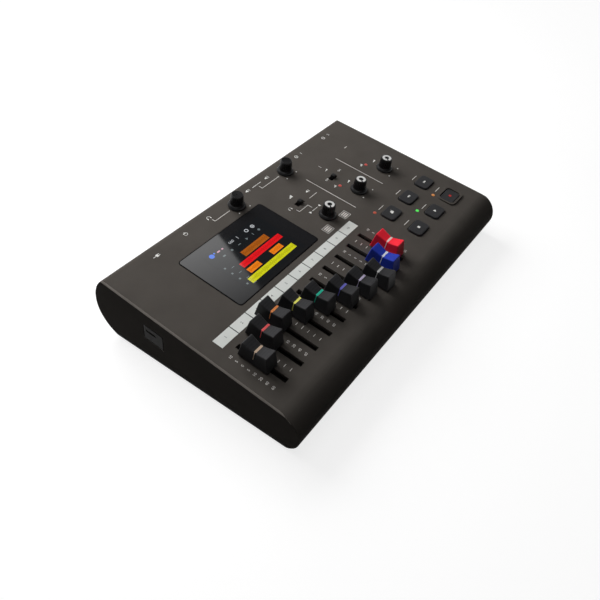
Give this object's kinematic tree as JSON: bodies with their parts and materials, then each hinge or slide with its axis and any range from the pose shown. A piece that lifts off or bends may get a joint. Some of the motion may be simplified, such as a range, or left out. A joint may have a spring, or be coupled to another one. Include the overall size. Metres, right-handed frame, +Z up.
{
  "type": "digital multitrack recorder",
  "caption": "Wedge-shaped desktop audio recorder with a row of faders, skirted knobs, transport keys, a colour display and rear sockets.",
  "frame": {"origin": "middle of the object's box on the plane of its feet", "axes": "+X to the user's right along the width, +Y to the rear, +Z up"},
  "size_m": [0.257, 0.162, 0.0591],
  "materials": {
    "case_paint": "satin warm charcoal with a fine grain",
    "base": "matt black",
    "strip": "matt pale grey writing strip",
    "glass": "gloss clear cover over a dark display",
    "module": "display frame",
    "board": "glass fibre board",
    "metal": "plated steel",
    "cap_black": "matt black",
    "cap_blue": "satin blue",
    "cap_red": "satin red",
    "knob": "matt black",
    "key": "matt dark grey",
    "light": "tinted lens",
    "foot": "black rubber",
    "cell": "sleeved cell"
  },
  "bodies": {
    "chassis": {"upper_case": "case_paint", "lower_case": "base", "label_strip": "strip", "display_glass": "glass", "display_module": "module", "main_board": "board", "fader_frames": "module", "pot_bodies": "module", "tact_switches": "base", "switch_bodies": "base", "card_socket": "metal", "combo_sockets": "base", "plug_sockets": "base", "usb_socket": "metal", "rubber_feet": "foot", "case_screws": "metal", "battery_cells": "cell", "battery_contacts": "metal", "status_lights": "light"},
    "fader_1": {"fader_cap_1": "cap_black", "fader_lever_1": "metal"},
    "fader_2": {"fader_cap_2": "cap_black", "fader_lever_2": "metal"},
    "fader_3": {"fader_cap_3": "cap_black", "fader_lever_3": "metal"},
    "fader_4": {"fader_cap_4": "cap_black", "fader_lever_4": "metal"},
    "fader_5": {"fader_cap_5": "cap_black", "fader_lever_5": "metal"},
    "fader_6": {"fader_cap_6": "cap_black", "fader_lever_6": "metal"},
    "fader_7": {"fader_cap_7": "cap_black", "fader_lever_7": "metal"},
    "fader_8": {"fader_cap_8": "cap_black", "fader_lever_8": "metal"},
    "fader_9": {"fader_cap_9": "cap_blue", "fader_lever_9": "metal"},
    "fader_10": {"fader_cap_10": "cap_red", "fader_lever_10": "metal"},
    "phones_control": {"knob_phones": "knob", "shaft_phones": "metal"},
    "output_control": {"knob_output": "knob", "shaft_output": "metal"},
    "balance_control": {"knob_balance": "knob", "shaft_balance": "metal"},
    "gain_1_control": {"knob_gain_1": "knob", "shaft_gain_1": "metal"},
    "gain_2_control": {"knob_gain_2": "knob", "shaft_gain_2": "metal"},
    "click_key": {"key_click": "key"},
    "rewind_key": {"key_rewind": "key"},
    "forward_key": {"key_forward": "key"},
    "stop_key": {"key_stop": "key"},
    "play_key": {"key_play": "key"},
    "record_key": {"key_record": "key"},
    "switch_1_nub": {"switch_1": "knob"},
    "switch_2_nub": {"switch_2": "knob"},
    "power_nub": {"power_slider": "base"},
    "flap": {"card_flap": "foot"},
    "door": {"battery_door": "base"}
  },
  "joints": [
    {"name": "fader_1_slide", "type": "slide", "parent": "chassis", "child": "fader_1", "axis": [0, 0.9925, 0.1219], "range_m": [-0.0183, 0.0117]},
    {"name": "fader_2_slide", "type": "slide", "parent": "chassis", "child": "fader_2", "axis": [0, 0.9925, 0.1219], "range_m": [-0.0249, 0.0051]},
    {"name": "fader_3_slide", "type": "slide", "parent": "chassis", "child": "fader_3", "axis": [0, 0.9925, 0.1219], "range_m": [-0.0297, 0.0003]},
    {"name": "fader_4_slide", "type": "slide", "parent": "chassis", "child": "fader_4", "axis": [0, 0.9925, 0.1219], "range_m": [-0.0237, 0.0063]},
    {"name": "fader_5_slide", "type": "slide", "parent": "chassis", "child": "fader_5", "axis": [0, 0.9925, 0.1219], "range_m": [-0.0174, 0.0126]},
    {"name": "fader_6_slide", "type": "slide", "parent": "chassis", "child": "fader_6", "axis": [0, 0.9925, 0.1219], "range_m": [-0.0096, 0.0204]},
    {"name": "fader_7_slide", "type": "slide", "parent": "chassis", "child": "fader_7", "axis": [0, 0.9925, 0.1219], "range_m": [-0.0048, 0.0252]},
    {"name": "fader_8_slide", "type": "slide", "parent": "chassis", "child": "fader_8", "axis": [0, 0.9925, 0.1219], "range_m": [0, 0.03]},
    {"name": "fader_9_slide", "type": "slide", "parent": "chassis", "child": "fader_9", "axis": [0, 0.9925, 0.1219], "range_m": [-0.0051, 0.0249]},
    {"name": "fader_10_slide", "type": "slide", "parent": "chassis", "child": "fader_10", "axis": [0, 0.9925, 0.1219], "range_m": [-0.0102, 0.0198]},
    {"name": "phones_turn", "type": "hinge", "parent": "chassis", "child": "phones_control", "pos_m": [-0.01786, 0.05672, 0.04848], "axis": [0, 0.1219, -0.9925], "range_deg": [-137.5, 137.5]},
    {"name": "output_turn", "type": "hinge", "parent": "chassis", "child": "output_control", "pos_m": [0.03816, 0.05672, 0.04848], "axis": [0, 0.1219, -0.9925], "range_deg": [-137.5, 137.5]},
    {"name": "balance_turn", "type": "hinge", "parent": "chassis", "child": "balance_control", "pos_m": [0.02017, 0.00462, 0.04208], "axis": [0, 0.1219, -0.9925], "range_deg": [0, 275]},
    {"name": "gain_1_turn", "type": "hinge", "parent": "chassis", "child": "gain_1_control", "pos_m": [0.06078, 0.00414, 0.04202], "axis": [0, 0.1219, -0.9925], "range_deg": [0, 275]},
    {"name": "gain_2_turn", "type": "hinge", "parent": "chassis", "child": "gain_2_control", "pos_m": [0.0983, 0.00414, 0.04202], "axis": [0, 0.1219, -0.9925], "range_deg": [0, 275]},
    {"name": "click_press", "type": "slide", "parent": "chassis", "child": "click_key", "axis": [0, 0.1219, -0.9925], "range_m": [0, 0.0008], "stiffness_N_per_m": 400, "springref_m": -0.0005},
    {"name": "rewind_press", "type": "slide", "parent": "chassis", "child": "rewind_key", "axis": [0, 0.1219, -0.9925], "range_m": [0, 0.0008], "stiffness_N_per_m": 400, "springref_m": -0.0005},
    {"name": "forward_press", "type": "slide", "parent": "chassis", "child": "forward_key", "axis": [0, 0.1219, -0.9925], "range_m": [0, 0.0008], "stiffness_N_per_m": 400, "springref_m": -0.0005},
    {"name": "stop_press", "type": "slide", "parent": "chassis", "child": "stop_key", "axis": [0, 0.1219, -0.9925], "range_m": [0, 0.0008], "stiffness_N_per_m": 400, "springref_m": -0.0005},
    {"name": "play_press", "type": "slide", "parent": "chassis", "child": "play_key", "axis": [0, 0.1219, -0.9925], "range_m": [0, 0.0008], "stiffness_N_per_m": 400, "springref_m": -0.0005},
    {"name": "record_press", "type": "slide", "parent": "chassis", "child": "record_key", "axis": [0, 0.1219, -0.9925], "range_m": [0, 0.0008], "stiffness_N_per_m": 400, "springref_m": -0.0005},
    {"name": "switch_1_slide", "type": "slide", "parent": "chassis", "child": "switch_1_nub", "axis": [1, 0, 0], "range_m": [-0.002, 0.002]},
    {"name": "switch_2_slide", "type": "slide", "parent": "chassis", "child": "switch_2_nub", "axis": [1, 0, 0], "range_m": [-0.002, 0.002]},
    {"name": "power_slide", "type": "slide", "parent": "chassis", "child": "power_nub", "axis": [1, 0, 0], "range_m": [-0.002, 0.002]},
    {"name": "card_flap_hinge", "type": "hinge", "parent": "chassis", "child": "flap", "pos_m": [-0.1285, 0.02965, 0.02037], "axis": [0, -0.9925, -0.1219], "range_deg": [0, 100]},
    {"name": "battery_door_hinge", "type": "hinge", "parent": "chassis", "child": "door", "pos_m": [0, 0.00859, 0.001], "axis": [1, 0, 0], "range_deg": [0, 95]}
  ]
}
